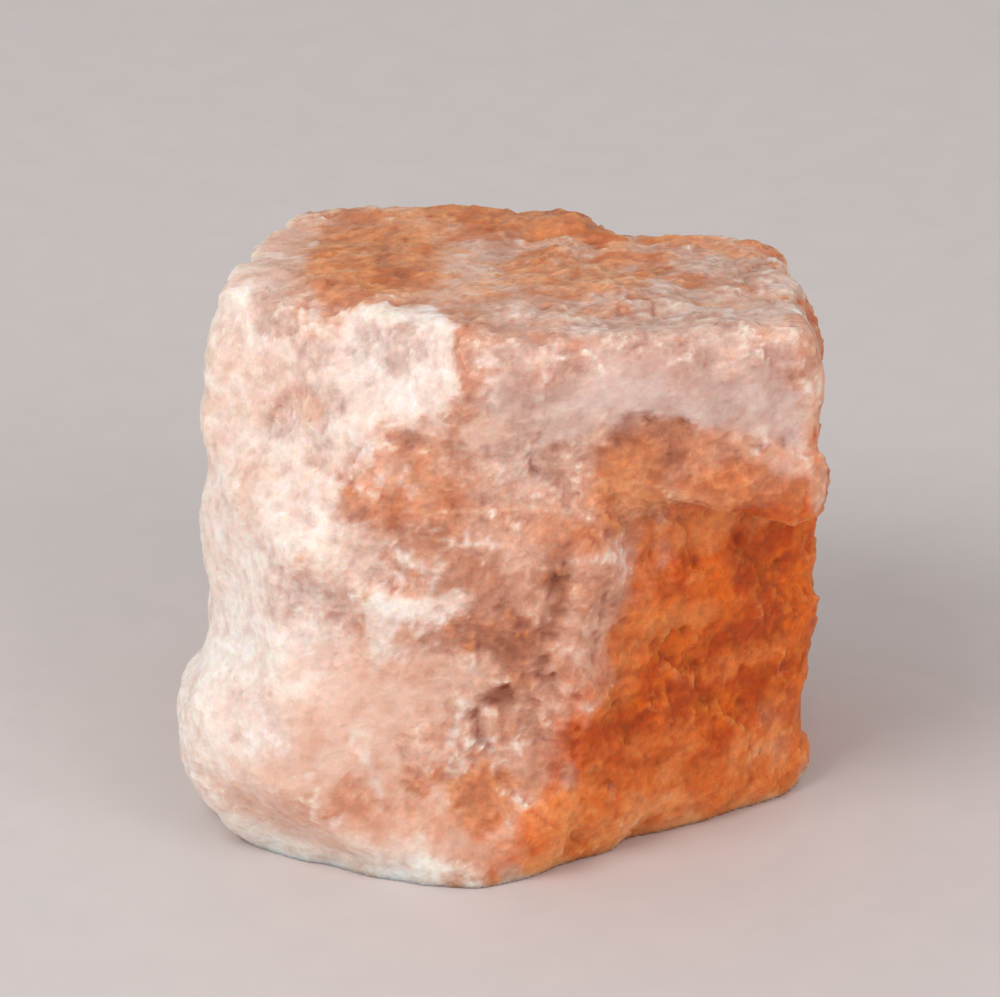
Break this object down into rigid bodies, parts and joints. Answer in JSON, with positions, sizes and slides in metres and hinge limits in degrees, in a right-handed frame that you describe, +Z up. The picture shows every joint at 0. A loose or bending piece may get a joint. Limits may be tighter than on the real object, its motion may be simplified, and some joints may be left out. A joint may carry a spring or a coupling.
{
  "type": "rock salt crystal",
  "caption": "Cubic block of cloudy pink rock salt with broken cleavage faces, ledges and pits, resting on one flat face.",
  "frame": {"origin": "on the surface that the block rests on, under the middle of its outline", "axes": "+Z up, -Y towards the broad front face, +X to the right of someone facing the front"},
  "size_m": [0.0298, 0.0274, 0.0266],
  "materials": {
    "rock_salt": "frosted, slightly waxy broken salt"
  },
  "bodies": {
    "root": {"salt_crystal": "rock_salt"}
  },
  "joints": []
}
